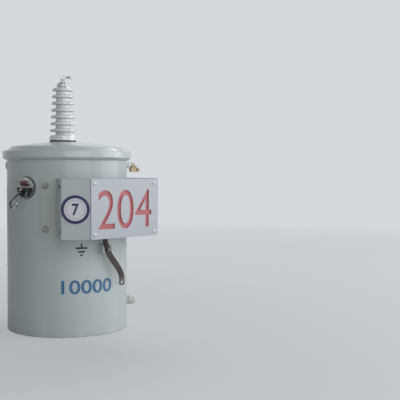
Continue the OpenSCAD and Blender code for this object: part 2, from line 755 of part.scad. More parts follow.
function lv_at(i) = lv_az + (i - (lv_count + 1) / 2) * lv_pitch;
module lv_bushing(i) {
  core = lv_r - 3.5;
  low = 6;
  rib = (lv_len - low) / 3;
  color("#8f969c") saddle() on_wall(lv_at(i), lv_z) rotate_extrude() polygon([
    [0, -sink], [lv_r, -sink], [lv_r, low - 2], [lv_r - 1, low], [core, low + 1.5],
    [core, low + rib - 1.5], [lv_r - 0.5, low + rib], [lv_r - 0.5, low + rib + 2.5], [core, low + rib + 4],
    [core, low + 2 * rib - 1], [lv_r - 1, low + 2 * rib + 0.5], [lv_r - 1, low + 2 * rib + 3],
    [core, low + 2 * rib + 4.5], [core - 1.5, lv_len], [0, lv_len]
  ]);
}

// A clamp hangs from the stud: two jaws hold the wire across, and a screw between them presses from above
module lv_terminal(i) {
  clamp_w = 16;
  jaw_h = 2 * lv_wire_r + 6;
  hanger_h = 9;
  hanger_y = lv_stud_r + 5;
  jaw_y = -hanger_y - jaw_h;
  stud_len = 16;
  wire_at = lv_clamp_len - lv_wire_r - 5;
  color("#b39a62") on_wall(lv_at(i), lv_z) translate([0, 0, lv_len]) difference() {
    union() {
      cylinder(r = lv_stud_r, h = stud_len);
      hex_head(lv_stud_r + 4, 4);
      translate([-clamp_w / 2, jaw_y, 4]) cube([clamp_w, jaw_h + 2 * hanger_y - 2, hanger_h]);
      translate([-clamp_w / 2, jaw_y, 0]) cube([clamp_w, jaw_h, lv_clamp_len]);
      translate([0, jaw_y + jaw_h, wire_at]) rotate([-90, 0, 0]) cylinder(r = 3, h = 5);
      translate([0, jaw_y + jaw_h + 2, wire_at]) rotate([-90, 0, 0]) hex_head(5.5, 4);
    }
    translate([-clamp_w / 2 - 1, jaw_y + jaw_h / 2, wire_at])
      rotate([0, 90, 0]) cylinder(r = lv_wire_r, h = clamp_w + 2);
  }
}
module lv_bushing_1() lv_bushing(1);
module lv_bushing_2() lv_bushing(2);
module lv_bushing_3() lv_bushing(3);
module lv_terminal_1() lv_terminal(1);
module lv_terminal_2() lv_terminal(2);
module lv_terminal_3() lv_terminal(3);

module hanger(z) {
  half = hanger_w / 2 - hanger_t / 2;
  face = tank_r + hanger_out - hanger_t / 2;
  foot = tank_r - 20;
  path = concat(
    [[-half, -foot]],
    bend([-half, -foot], [-half, -face], [half, -face], 8),
    bend([-half, -face], [half, -face], [half, -foot], 8),
    [[half, -foot]]
  );
  color("#9aa4aa") rotate([0, 0, 180]) difference() {
    saddle() translate([0, 0, z - hanger_h / 2]) linear_extrude(hanger_h) polygon(sheet_outline(path, hanger_t));
    translate([0, -face - hanger_t, z]) rotate([-90, 0, 0]) linear_extrude(2 * hanger_t) union() {
      square([2 * slot_r, slot_len - 2 * slot_r], center = true);
      for (s = [-1, 1]) translate([0, s * (slot_len / 2 - slot_r)]) circle(r = slot_r);
    }
  }
}
module upper_hanger() hanger(hanger_z);
module lower_hanger() hanger(hanger_z - hanger_pitch);

module lifting_lug(az) {
  top = rim_z - band_drop - 4;
  eye_wall = 4;
  eye_down = 15;
  corner = 6;
  hole_at = [tank_r + lift_w - lift_hole_r - eye_wall, top - eye_down];
  color("#9aa4aa") saddle() rotate([0, 0, az]) translate([lift_t / 2, 0, 0]) rotate([90, 0, -90])
    linear_extrude(lift_t) difference() {
      polygon([
        [tank_r - sink, top - lift_h], [tank_r, top - lift_h], [tank_r + lift_w, top - lift_h / 2],
        [tank_r + lift_w, top - corner], [tank_r + lift_w - corner, top], [tank_r - sink, top]
      ]);
      translate(hole_at) circle(r = lift_hole_r);
    }
}
module left_lifting_lug() lifting_lug(-lift_az);
module right_lifting_lug() lifting_lug(lift_az);

module drain_boss() {
  color("#9aa4aa") saddle() on_wall(drain_az, drain_z) translate([0, 0, -sink])
    cylinder(r = drain_r - 2, h = sink + drain_boss_h);
}

module drain_cap() {
  skirt = drain_cap_h * 0.45;
  steps = 6;
  color("#e6e8ea") on_wall(drain_az, drain_z) translate([0, 0, drain_boss_h]) rotate_extrude() polygon(concat(
    [[0, 0], [drain_r, 0], [drain_r, skirt], [drain_r - 1.2, skirt + 1]],
    [for (i = [0 : steps])
      let (a = 90 * i / steps) [(drain_r - 1.2) * cos(a), skirt + 3 + (drain_cap_h - skirt - 3) * sin(a)]]
  ));
}

module relief_valve() {
  boss_h = 8;
  nut_h = 6;
  color("#b39a62") saddle() on_wall(relief_az, relief_z) {
    translate([0, 0, -sink]) cylinder(r = relief_r, h = sink + boss_h);
    translate([0, 0, boss_h]) hex_head(relief_r + 1, nut_h);
    translate([0, 0, boss_h + nut_h]) cylinder(r = relief_r - 3, h = relief_len - boss_h - nut_h);
  }
}

tank();
bottom_plate();
cover();
clamp_band();
band_bolt();
hv_gasket();
hv_porcelain();
hv_cap();
hv_terminal();
breaker_gasket();
breaker_flange();
breaker_housing();
breaker_latch();
breaker_hub();
signal_lens();
breaker_lever();
left_bracket();
right_bracket();
bracket_nuts();
sign_hood();
hood_bolts();
sign_plate();
sign_screws();
badge_disc();
earth_pad();
earth_bolt();
strap_anchor();
earth_strap();
strap_lug();
lv_bushing_1();
lv_bushing_2();
lv_bushing_3();
lv_terminal_1();
lv_terminal_2();
lv_terminal_3();
upper_hanger();
lower_hanger();
left_lifting_lug();
right_lifting_lug();
drain_boss();
drain_cap();
relief_valve();
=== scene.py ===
import bmesh
import bpy
import json
import math
from contextlib import contextmanager
from mathutils import Matrix, Vector


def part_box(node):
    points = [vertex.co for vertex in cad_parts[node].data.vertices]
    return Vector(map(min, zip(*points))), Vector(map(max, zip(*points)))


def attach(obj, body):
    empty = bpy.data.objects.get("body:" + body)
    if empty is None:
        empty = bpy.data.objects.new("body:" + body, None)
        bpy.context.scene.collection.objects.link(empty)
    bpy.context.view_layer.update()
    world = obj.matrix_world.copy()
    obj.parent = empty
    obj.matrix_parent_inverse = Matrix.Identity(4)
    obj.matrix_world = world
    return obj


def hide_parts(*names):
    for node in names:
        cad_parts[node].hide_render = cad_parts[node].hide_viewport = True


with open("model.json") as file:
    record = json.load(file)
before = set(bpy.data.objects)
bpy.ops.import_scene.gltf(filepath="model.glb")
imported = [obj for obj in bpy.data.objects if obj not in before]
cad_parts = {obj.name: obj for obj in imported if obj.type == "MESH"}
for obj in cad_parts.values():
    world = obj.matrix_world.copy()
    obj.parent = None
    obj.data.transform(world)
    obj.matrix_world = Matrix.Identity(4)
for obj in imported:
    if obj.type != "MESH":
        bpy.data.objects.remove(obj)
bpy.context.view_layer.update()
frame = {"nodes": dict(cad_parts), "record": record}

# Camera
# It stands to the left of the sign, level with the low voltage bushings, and looks a little down. VIEW_AZ is
# the side that it sees the tank from, and LATERAL is where the tank stands beside its line of sight.
SENSOR_WIDE = 36
FOCAL_PX = 800
FRAME_PX = 400
DEPTH = 2.7148
LATERAL = -0.4496
HEIGHT = 0.5438
VIEW_AZ = math.radians(-36.4)
PITCH = math.radians(2.355)
ROLL = math.radians(0.2844)
heading = math.radians(90) + VIEW_AZ - math.atan2(-LATERAL, DEPTH)
level = Vector((math.cos(heading), math.sin(heading), 0))
right = Vector((level.y, -level.x, 0))
forward = level * math.cos(PITCH) - Vector((0, 0, math.sin(PITCH)))
bpy.ops.object.camera_add()
camera = bpy.context.object
camera.data.sensor_width = SENSOR_WIDE
camera.data.lens = SENSOR_WIDE * FOCAL_PX / FRAME_PX
stand = Matrix((right, right.cross(forward), -forward)).transposed().to_4x4()
stand.translation = Vector((0, 0, HEIGHT)) - level * DEPTH - right * LATERAL
camera.matrix_world = stand @ Matrix.Rotation(ROLL, 4, "Z")
bpy.context.scene.camera = camera
bpy.context.scene.view_settings.view_transform = "Standard"

# Floor, sky and lamps
# A pale floor that fades into a pale surround, one large soft lamp to the right, a weaker one from the
# camera's side, a long high one that lights the cover's edge, and one for the back.
FLOOR_SIZE = 40
FLOOR_COLOUR = (0.52, 0.53, 0.54)
FLOOR_HAZE = 0.45
FADE_FROM, FADE_TO = 0.6, 5.0
SKY_LIGHT = (0.93, 0.97, 1.0, 1)
SKY_STRENGTH = 0.18
SKY_SHOWN = (0.66, 0.69, 0.72, 1)
LAMPS_AIM = Vector((0, 0, 0.4))


class Value:
    """A socket of a shader. Arithmetic on values adds the Math nodes that work it out."""

    def __init__(self, finish, socket):
        self.finish = finish
        self.socket = socket

    def math(self, operation, *numbers, clamp=False):
        """Adds a Math node that works on these values or numbers."""
        settings = {"operation": operation, "use_clamp": clamp}
        return self.finish.node("ShaderNodeMath", settings, dict(enumerate(numbers)))

    def __add__(self, other):
        return self.math("ADD", self, other)

    def __radd__(self, other):
        return self.math("ADD", other, self)

    def __sub__(self, other):
        return self.math("SUBTRACT", self, other)

    def __rsub__(self, other):
        return self.math("SUBTRACT", other, self)

    def __mul__(self, other):
        return self.math("MULTIPLY", self, other)

    def __rmul__(self, other):
        return self.math("MULTIPLY", other, self)

    def between(self, low, high):
        """0 at low and below, 1 at high and above."""
        return self.math("DIVIDE", self - low, high - low, clamp=True)


class Finish:
    """A material and its shader tree. node() adds any node, and shade() sets the surface's own sockets."""

    def __init__(self, name, **sockets):
        self.material = bpy.data.materials.new(name)
        self.material.use_nodes = True
        self.tree = self.material.node_tree
        self.surface = self.tree.nodes["Principled BSDF"]
        self.output = self.tree.nodes["Material Output"]
        self.shade(**sockets)

    def fill(self, sockets, values):
        """Links each of these sockets to a value, or sets it to a plain one."""
        for key, value in values.items():
            if isinstance(value, Value):
                self.tree.links.new(value.socket, sockets[key])
            elif isinstance(value, tuple) and len(value) == 3 and sockets[key].type == "RGBA":
                sockets[key].default_value = (*value, 1)
            else:
                sockets[key].default_value = value

    def node(self, kind, settings=None, values=None, out=0):
        """Adds a node with these settings, fills its sockets and hands over one of its outputs."""
        node = self.tree.nodes.new(kind)
        for key, value in (settings or {}).items():
            setattr(node, key, value)
        self.fill(node.inputs, values or {})
        return Value(self, node.outputs[out])

    def shade(self, **sockets):
        """Fills the surface's own sockets, named with _ for each space."""
        self.fill(self.surface.inputs, {key.replace("_", " "): value for key, value in sockets.items()})
        return self

    def mix(self, share, low, high):
        """A colour between two others."""
        return self.node("ShaderNodeMix", {"data_type": "RGBA"}, {0: share, 6: low, 7: high}, out=2)

    def place(self, stretch=(1, 1, 1), shift=(0, 0, 0)):
        """The place of a point on the object, in metres, stretched and shifted for a pattern."""
        spot = self.node("ShaderNodeTexCoord", out="Object")
        return self.node("ShaderNodeMapping", None, {"Vector": spot, "Scale": stretch, "Location": shift})

    def noise(self, scale, detail=2, rough=0.5, **place):
        """Soft noise with this many spots to the metre."""
        values = {"Vector": self.place(**place), "Scale": scale, "Detail": detail, "Roughness": rough}
        return self.node("ShaderNodeTexNoise", None, values)

    def bump(self, height, distance, strength=1.0, edge=0.0):
        """Gives the surface a fine relief, and makes its edges look rounded by this radius."""
        values = {"Height": height, "Distance": distance, "Strength": strength}
        if edge:
            values["Normal"] = self.node("ShaderNodeBevel", {"samples": 4}, {"Radius": edge})
        self.shade(Normal=self.node("ShaderNodeBump", None, values))
        return self


bpy.ops.object.select_all(action="DESELECT")
bpy.ops.mesh.primitive_plane_add(size=FLOOR_SIZE)
floor = bpy.context.object
floor.name = "floor"
screed = Finish("pale_floor", Base_Color=FLOOR_COLOUR, Roughness=0.75)
across = screed.node("ShaderNodeVectorMath", {"operation": "LENGTH"}, {0: screed.place()}, out="Value")
seen = screed.node("ShaderNodeLightPath", out="Is Camera Ray")
fade = FLOOR_HAZE + across.between(FADE_FROM, FADE_TO) * (1 - FLOOR_HAZE)
clear = screed.node("ShaderNodeBsdfTransparent")
painted = Value(screed, screed.surface.outputs[0])
shown = screed.node("ShaderNodeMixShader", None, {0: fade * seen, 1: painted, 2: clear})
screed.fill(screed.output.inputs, {"Surface": shown})
floor.data.materials.append(screed.material)

world = bpy.data.worlds.new("surround")
bpy.context.scene.world = world
world.use_nodes = True
sky = world.node_tree
light_sky = sky.nodes["Background"]
light_sky.inputs["Color"].default_value = SKY_LIGHT
light_sky.inputs["Strength"].default_value = SKY_STRENGTH
pale_sky = sky.nodes.new("ShaderNodeBackground")
pale_sky.inputs["Color"].default_value = SKY_SHOWN
ray = sky.nodes.new("ShaderNodeLightPath")
shows_pale = ray.outputs["Is Camera Ray"]
for kind in ("Is Glossy Ray", "Is Transmission Ray"):
    either = sky.nodes.new("ShaderNodeMath")
    either.operation = "MAXIMUM"
    sky.links.new(shows_pale, either.inputs[0])
    sky.links.new(ray.outputs[kind], either.inputs[1])
    shows_pale = either.outputs[0]
chosen = sky.nodes.new("ShaderNodeMixShader")
sky.links.new(shows_pale, chosen.inputs[0])
sky.links.new(light_sky.outputs[0], chosen.inputs[1])
sky.links.new(pale_sky.outputs[0], chosen.inputs[2])
sky.links.new(chosen.outputs[0], sky.nodes["World Output"].inputs["Surface"])

for name, azimuth, reach, height, wide, tall, watts in (
    ("key_lamp", 50, 3.6, 1.6, 3.2, 3.2, 80),
    ("fill_lamp", -18, 3.6, 1.4, 3.2, 3.2, 54),
    ("edge_lamp", 124, 2.7, 3.0, 2.1, 0.7, 36),
    ("back_lamp", 172, 3.6, 2.2, 2.6, 2.6, 30),
):
    turn = math.radians(azimuth)
    stands_at = (reach * math.sin(turn), -reach * math.cos(turn), height)
    bpy.ops.object.light_add(type="AREA", location=stands_at)
    lamp = bpy.context.object
    lamp.name = name
    lamp.data.shape = "RECTANGLE"
    lamp.data.size = wide
    lamp.data.size_y = tall
    lamp.data.energy = watts
    lamp.rotation_euler = (LAMPS_AIM - lamp.location).to_track_quat("-Z", "Y").to_euler()
    lamp.visible_glossy = name != "back_lamp"

# Tank
# A cylinder of rolled sheet steel with a rolled rim and a pressed bottom, welded up its back left and
# sprayed with grey enamel. The enamel has a faint orange peel, slight clouding, dust round the foot, and
# soft vertical streaks of painted reflection.
TANK_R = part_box("bottom_plate")[1].x
ENAMEL_GREY = (0.50, 0.555, 0.565)
ENAMEL_CLOUD_AND_REFLECTION = (0.455, 0.51, 0.52)
DUST_BROWN = (0.25, 0.24, 0.22)
DUST_TOP = 0.035
PEEL_DEEP = 0.0001
SMOOTH_UNDER = math.radians(35)
SEAM_AZ = -135
SEAM_FOOT = 0.012
SEAM_LONG = 0.545
SEAM_PRESSED = (1, 0.4, 1.5)
BEAD_R = 0.0026
BEAD_WAIST = 0.82
BEAD_STEP = 0.0024


def enamel(name, colour, cloud_and_reflection, roughness=0.38, sway=0.0, coat=0.2, edge=0.0009):
    """Sprayed enamel: clouds, painted reflection streaks, orange peel, sheet sway, round edges, scuffs,
    dust.
    """
    paint = Finish(name, Coat_Weight=coat, Coat_Roughness=0.12, Specular_IOR_Level=0.45)
    clouds = paint.noise(5, detail=3, rough=0.55).between(0.35, 0.68)
    # Soft vertical streaks in the base colour are painted reflection: bands of window light on the sheet.
    painted_reflection_streaks = paint.noise(17, detail=2, stretch=(1, 1, 0.04)).between(0.42, 0.66)
    scuffs = paint.noise(150, detail=5, rough=0.7, stretch=(1, 1, 0.25)).between(0.66, 0.74)
    tone = paint.mix(clouds * 0.55 + painted_reflection_streaks * 0.45, colour, cloud_and_reflection)
    height = paint.node("ShaderNodeSeparateXYZ", None, {0: paint.place()}, out="Z")
    dust = (1 - height.between(0.0, DUST_TOP)) * paint.noise(140, detail=4).between(0.42, 0.66)
    tone = paint.mix(dust * 0.12, tone, DUST_BROWN)
    paint.shade(Base_Color=tone, Roughness=roughness + scuffs * 0.12 + dust * 0.2 + clouds * 0.04)
    grain = paint.noise(520, detail=2) + paint.noise(1500, detail=1) * 0.3
    if sway:
        grain = grain + paint.noise(14, detail=1, stretch=(1, 1, 0.05)) * sway
    return paint.bump(grain, PEEL_DEEP, strength=0.35, edge=edge)


def dress(finish, *nodes):
    """Gives CAD nodes this finish."""
    for node in nodes:
        mesh = frame["nodes"][node].data
        mesh.materials.clear()
        mesh.materials.append(finish.material)


def alone(piece=None):
    """Selects this piece and nothing else, or nothing at all."""
    bpy.ops.object.select_all(action="DESELECT")
    if piece:
        piece.select_set(True)
        bpy.context.view_layer.objects.active = piece


def made(name, finish):
    """Names the new primitive, settles its place into its mesh and gives it a finish."""
    piece = bpy.context.object
    piece.name = piece.data.name = name
    bpy.ops.object.transform_apply(location=True, rotation=True, scale=True)
    piece.data.materials.clear()
    piece.data.materials.append(finish.material)
    return piece


@contextmanager
def shaping(piece):
    """Opens a piece in edit mode with all of it selected, and hands over its mesh."""
    alone(piece)
    bpy.ops.object.mode_set(mode="EDIT")
    bpy.ops.mesh.select_all(action="SELECT")
    yield bmesh.from_edit_mesh(piece.data)
    bpy.ops.object.mode_set(mode="OBJECT")


def pick(piece, parts, test):
    """Selects the faces, edges or corners that pass the test, and nothing else."""
    bpy.ops.mesh.select_all(action="DESELECT")
    for part in parts:
        if test(part):
            part.select_set(True)
    bmesh.update_edit_mesh(piece.data)


def modify(piece, kind, **settings):
    """Adds a modifier and applies it at once."""
    alone(piece)
    modifier = piece.modifiers.new(kind.lower(), kind)
    for key, value in settings.items():
        setattr(modifier, key, value)
    bpy.ops.object.modifier_apply(modifier=modifier.name)
    return piece


def settle(piece, place=(0, 0, 0), turn=(0, 0, 0), scale=(1, 1, 1)):
    """Scales, turns and moves a piece, and settles all that into its mesh."""
    piece.scale = scale
    piece.rotation_euler = turn
    piece.location = place
    alone(piece)
    bpy.ops.object.transform_apply(location=True, rotation=True, scale=True)
    return piece


def on_wall(piece, azimuth, height, out=0.0, curved=False):
    """Carries a piece that faces -Y at the origin to its place on the wall, bent to the wall if curved."""
    if curved:
        wrap = piece.dimensions.x / TANK_R
        modify(piece, "SIMPLE_DEFORM", deform_method="BEND", deform_axis="Z", angle=wrap)
    turn = math.radians(azimuth)
    reach = TANK_R + out
    return settle(piece, (reach * math.sin(turn), -reach * math.cos(turn), height), (0, 0, turn))


def fits(piece, body="root"):
    """Shades a finished piece smooth and says what carries it."""
    alone(piece)
    bpy.ops.object.shade_smooth_by_angle(angle=SMOOTH_UNDER)
    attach(piece, body)


def bead(name, finish, length, closed=False):
    """A rippled weld bead along X at the origin, or one bent into a ring that faces -Y."""
    count = round(length / BEAD_STEP)
    step = length / count
    alone()
    bpy.ops.mesh.primitive_cylinder_add(vertices=10, radius=BEAD_R * BEAD_WAIST, depth=step,
                                        end_fill_type="NOTHING", rotation=(0, math.radians(90), 0))
    piece = made(name, finish)
    with shaping(piece) as mesh:
        bpy.ops.mesh.bisect(plane_co=(0, 0, 0), plane_no=(1, 0, 0))
        pick(piece, mesh.verts, lambda v: abs(v.co.x) < step / 4)
        bpy.ops.transform.resize(value=(1, 1 / BEAD_WAIST, 1 / BEAD_WAIST), center_override=(0, 0, 0))
    modify(piece, "ARRAY", count=count, use_merge_vertices=True, merge_threshold=0.00002)
    settle(piece, ((step - length) / 2, 0, 0))
    if closed:
        modify(piece, "SIMPLE_DEFORM", deform_method="BEND", deform_axis="Z", angle=math.radians(360))
        settle(piece, (0, -length / math.tau, 0))
        settle(piece, turn=(math.radians(90), 0, 0))
    with shaping(piece):
        bpy.ops.mesh.remove_doubles(threshold=0.00005)
        bpy.ops.mesh.fill_holes(sides=0)
        bpy.ops.mesh.normals_make_consistent(inside=False)
    return piece


grey_enamel = enamel("grey_enamel", ENAMEL_GREY, ENAMEL_CLOUD_AND_REFLECTION, sway=36.0, coat=0.25)
dress(grey_enamel, "tank")
seam = bead("tank_seam", grey_enamel, SEAM_LONG)
settle(seam, turn=(0, math.radians(90), 0), scale=SEAM_PRESSED)
on_wall(seam, SEAM_AZ, SEAM_LONG / 2 + SEAM_FOOT)
fits(seam)

# Cover and clamp band
# The domed cover is pressed sheet and the clamp band a rolled channel that grips cover and rim together,
# pulled tight by one zinc plated bolt. Cover, band and bottom are sprayed like the tank, a little glossier,
# in a lighter copy of its grey that is painted light for the highlights on the cover and the bottom rim.
BOLT_MIDDLE = 0.0025
TAIL_FROM, TAIL_TO = 0.0185, 0.0230
BOLT_R = 0.004
THREAD_PITCH = 0.00125
# A lighter copy of the tank's grey: painted light for the highlights on the cover and the bottom rim.
cover_enamel_painted_light = enamel("cover_enamel_painted_light", (0.54, 0.595, 0.605), (0.49, 0.545, 0.555), roughness=0.3, coat=0.5,
                      edge=0.004)
dress(cover_enamel_painted_light, "cover", "clamp_band", "bottom_plate")
zinc = Finish("dull_zinc", Metallic=0.85)
spangle = zinc.node("ShaderNodeTexVoronoi", None, {"Vector": zinc.place(), "Scale": 260}, out="Color")
leaf = zinc.node("ShaderNodeSeparateXYZ", None, {0: spangle}, out="X")
film = zinc.noise(120, detail=4).between(0.45, 0.65)
crystals = zinc.mix(leaf, (0.33, 0.345, 0.35), (0.44, 0.45, 0.46))
zinc.shade(Base_Color=zinc.mix(film * 0.5, crystals, (0.20, 0.205, 0.21)),
           Roughness=0.36 + leaf * 0.14 + film * 0.12)
zinc.bump(zinc.noise(800, detail=3), 0.00006, strength=0.4, edge=0.0005)
dress(zinc, "band_bolt")


def azimuth_of(point):
    """The azimuth of a point round the tank, in degrees from the front."""
    return math.degrees(math.atan2(point[0], -point[1]))


def centre_of(node):
    """The middle of a CAD node's box."""
    low_corner, high_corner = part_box(node)
    return (low_corner + high_corner) / 2


def thread(name, finish, foot, along, radius, length):
    """A screw thread wound on a stud, from its foot along its axis."""
    alone()
    bpy.ops.mesh.primitive_circle_add(vertices=3, radius=THREAD_PITCH / 2, location=(radius, 0, 0),
                                      rotation=(math.radians(90), 0, 0))
    piece = made(name, finish)
    rounds = max(2, round(length / THREAD_PITCH))
    modify(piece, "SCREW", axis="Z", screw_offset=THREAD_PITCH, iterations=rounds, steps=18, render_steps=18)
    with shaping(piece):
        bpy.ops.mesh.fill_holes(sides=0)
        bpy.ops.mesh.normals_make_consistent(inside=False)
    return settle(piece, foot, along.to_track_quat("Z", "Y").to_euler())


bolt_at = centre_of("band_bolt")
bolt_turn = math.radians(azimuth_of(bolt_at))
bolt_along = Vector((math.cos(bolt_turn), math.sin(bolt_turn), 0))
tail_foot = bolt_at + bolt_along * (TAIL_FROM - BOLT_MIDDLE)
bolt_thread = thread("band_bolt_thread", zinc, tail_foot, bolt_along, BOLT_R, TAIL_TO - TAIL_FROM)
fits(bolt_thread)

# High voltage bushing
# One glazed porcelain body with graded sheds on a black rubber gasket, with a tinned cap bedded in cement
# and a tinned clamp connector on its threaded stud. The glaze is glossy, pale grey and slightly uneven.
CEMENT_WALL = 0.0022
CEMENT_TALL = 0.0016
STUD_R = 0.0045
STUD_WASHER_R = 0.011
STUD_WASHER_THICK = 0.0014
STUD_THREAD_FROM, STUD_THREAD = 0.0045, 0.006
SCREW_R = 0.0035
SCREW_THREAD_FROM, SCREW_THREAD = 0.0135, 0.009
glaze = Finish("grey_glaze", Coat_Weight=0.8, Coat_Roughness=0.05, Specular_IOR_Level=0.55)
flow = glaze.noise(26, detail=3, stretch=(1, 1, 0.6)).between(0.3, 0.7)
specks = glaze.noise(420, detail=2).between(0.68, 0.76)
body_tone = glaze.mix(flow, (0.75, 0.78, 0.795), (0.70, 0.735, 0.755))
glaze.shade(Base_Color=glaze.mix(specks * 0.25, body_tone, (0.30, 0.28, 0.26)), Roughness=0.18 + flow * 0.06)
glaze.bump(glaze.noise(90, detail=2), 0.00012, strength=0.4, edge=0.0006)
dress(glaze, "hv_porcelain")
rubber = Finish("black_rubber")
bloom = rubber.noise(210, detail=3).between(0.4, 0.7)
rubber.shade(Base_Color=rubber.mix(bloom * 0.4, (0.016, 0.017, 0.019), (0.05, 0.05, 0.05)),
             Roughness=0.62 + bloom * 0.15)
rubber.bump(rubber.noise(700, detail=2), 0.00008, strength=0.4, edge=0.0005)
dress(rubber, "hv_gasket")
bright_tin = Finish("bright_tin", Metallic=0.75)
dulled = bright_tin.noise(170, detail=4).between(0.45, 0.68)
bright_tin.shade(Base_Color=bright_tin.mix(dulled, (0.52, 0.535, 0.55), (0.33, 0.34, 0.355)),
                 Roughness=0.34 + dulled * 0.16)
bright_tin.bump(bright_tin.noise(600, detail=3), 0.00006, strength=0.4, edge=0.0005)
dress(bright_tin, "hv_cap", "hv_terminal")
cement = Finish("bedding_cement", Roughness=0.9, Specular_IOR_Level=0.2)
sand = cement.noise(900, detail=3).between(0.4, 0.65)
cement.shade(Base_Color=cement.mix(sand, (0.42, 0.42, 0.40), (0.33, 0.33, 0.32)))
cement.bump(cement.noise(700, detail=3), 0.0003, strength=0.5)


def hollow(piece, wall):
    """Opens a disc or plate that faces -Y into a ring with a wall this wide."""
    with shaping(piece) as mesh:
        pick(piece, mesh.faces, lambda f: abs(f.normal.y) > 0.9)
        bpy.ops.mesh.inset(thickness=wall)
        bpy.ops.mesh.delete(type="FACE")
        pick(piece, mesh.edges, lambda e: e.is_boundary)
        bpy.ops.mesh.bridge_edge_loops()
        bpy.ops.mesh.select_all(action="SELECT")
        bpy.ops.mesh.normals_make_consistent(inside=False)


def ring(name, finish, outer, wall, thick, edge=0.0003):
    """A flat ring with softened edges that faces -Y at the origin."""
    alone()
    bpy.ops.mesh.primitive_cylinder_add(vertices=72, radius=outer, depth=thick,
                                        rotation=(math.radians(90), 0, 0))
    piece = made(name, finish)
    hollow(piece, wall)
    return modify(piece, "BEVEL", width=edge, segments=2, limit_method="ANGLE")


def joined(name, pieces):
    """Makes one piece of several."""
    alone(pieces[0])
    for piece in pieces:
        piece.select_set(True)
    bpy.ops.object.join()
    whole = bpy.context.object
    whole.name = whole.data.name = name
    return whole


cap_low, cap_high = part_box("hv_cap")
stud_x, stud_y = centre_of("hv_cap").xy
cap_r = (cap_high.x - cap_low.x) / 2
laid_flat = (math.radians(90), 0, 0)
cement_ring = ring("hv_cement", cement, cap_r + CEMENT_WALL / 2, CEMENT_WALL, CEMENT_TALL, edge=0.0006)
settle(cement_ring, (stud_x, stud_y, cap_low.z + CEMENT_TALL / 2), laid_flat)
fits(cement_ring)
hv_hole = next(mount for mount in frame["record"]["mounts"] if mount["name"] == "hv_wire_hole")
hole_at = Vector(hv_hole["pos_m"])
screw_along = Vector(hv_hole["axis"]).cross(Vector((0, 0, 1)))
hv_washer = ring("hv_washer", bright_tin, STUD_WASHER_R, STUD_WASHER_R - STUD_R, STUD_WASHER_THICK)
settle(hv_washer, (stud_x, stud_y, cap_high.z + STUD_WASHER_THICK / 2), laid_flat)
stud_foot = Vector((stud_x, stud_y, cap_high.z + STUD_THREAD_FROM))
stud_thread = thread("stud_thread", bright_tin, stud_foot, Vector((0, 0, 1)), STUD_R, STUD_THREAD)
screw_foot = hole_at + screw_along * SCREW_THREAD_FROM
screw_thread = thread("screw_thread", bright_tin, screw_foot, screw_along, SCREW_R, SCREW_THREAD)
hv_threads = joined("hv_threads", [stud_thread, screw_thread, hv_washer])
fits(hv_threads)

# Low voltage bushings
# Three small porcelain bushings set high in the right side of the wall, each on a rubber ring, with a cast
# brass clamp that hangs from its stud.
LV_BUSHINGS = ("lv_bushing_1", "lv_bushing_2", "lv_bushing_3")
LV_RING_R = 0.0148
LV_RING_WALL = 0.003
LV_RING_THICK = 0.005
dress(glaze, *LV_BUSHINGS)
brass = Finish("cast_brass", Metallic=0.9)
dull = brass.noise(150, detail=4).between(0.4, 0.65)
brass.shade(Base_Color=brass.mix(dull, (0.47, 0.385, 0.245), (0.34, 0.285, 0.19)),
            Roughness=0.34 + dull * 0.18)
brass.bump(brass.noise(500, detail=3), 0.00012, strength=0.4, edge=0.0005)
dress(brass, "lv_terminal_1", "lv_terminal_2", "lv_terminal_3")
lv_rings = []
for node in LV_BUSHINGS:
    spot = centre_of(node)
    lv_ring = ring(f"{node}_ring", rubber, LV_RING_R, LV_RING_WALL, LV_RING_THICK)
    lv_rings.append(on_wall(lv_ring, azimuth_of(spot), spot.z, curved=True))
fits(joined("lv_rings", lv_rings))

# Breaker gear
# A chromed cup on a grey seal with a red signal lens in a bezel, a blackened housing with a bright latch bar
# and two rivets, and a polished lever that ends in a ring for the operating stick, its dark steel patched
# with painted highlights.
LENS_EDGE = 0.0014
BEZEL_THICK = 0.0022
BEZEL_ROUND = 0.0004
RIVET_R = 0.0026
RIVET_RISE = 0.0011
RIVET_PLACES = ((-0.0215, -0.009), (0.0205, -0.0125))
PIVOT_SCREW_R = 0.0042
PIVOT_SCREW_RISE = 0.0016
chrome = Finish("chrome_plate", Metallic=1.0)
smear = chrome.noise(140, detail=4).between(0.4, 0.7)
pool = chrome.noise(45, detail=2).between(0.35, 0.65)
chrome.shade(Base_Color=chrome.mix(smear * 0.6 + pool * 0.4, (0.66, 0.66, 0.665), (0.34, 0.345, 0.35)),
             Roughness=0.09 + smear * 0.12)
chrome.bump(chrome.noise(120, detail=2), 0.0003, strength=0.5, edge=0.0005)
dress(chrome, "breaker_flange", "breaker_latch")
polish = Finish("polished_steel", Metallic=1.0)
# Bright patches shifted into place on the lever's dark steel are painted highlights.
painted_glints = polish.noise(62, detail=2, shift=(0.013, 0.004, 0)).between(0.46, 0.60)
polish.shade(Base_Color=polish.mix(painted_glints, (0.07, 0.073, 0.078), (0.62, 0.625, 0.63)),
             Roughness=0.14 + painted_glints * 0.1)
polish.bump(polish.noise(260, detail=2), 0.0001, strength=0.4, edge=0.0005)
dress(polish, "breaker_lever")
seal = Finish("grey_seal", Roughness=0.7, Specular_IOR_Level=0.3)
chalk = seal.noise(180, detail=3).between(0.4, 0.7)
seal.shade(Base_Color=seal.mix(chalk, (0.085, 0.09, 0.092), (0.14, 0.145, 0.145)))
seal.bump(seal.noise(600, detail=2), 0.00008, strength=0.4, edge=0.0005)
dress(seal, "breaker_gasket")
blacking = Finish("blackened_steel", Metallic=0.7)
rub = blacking.noise(160, detail=4).between(0.5, 0.7)
blacking.shade(Base_Color=blacking.mix(rub, (0.036, 0.036, 0.04), (0.12, 0.115, 0.12)),
               Roughness=0.42 - rub * 0.14)
blacking.bump(blacking.noise(500, detail=3), 0.0001, strength=0.4, edge=0.0006)
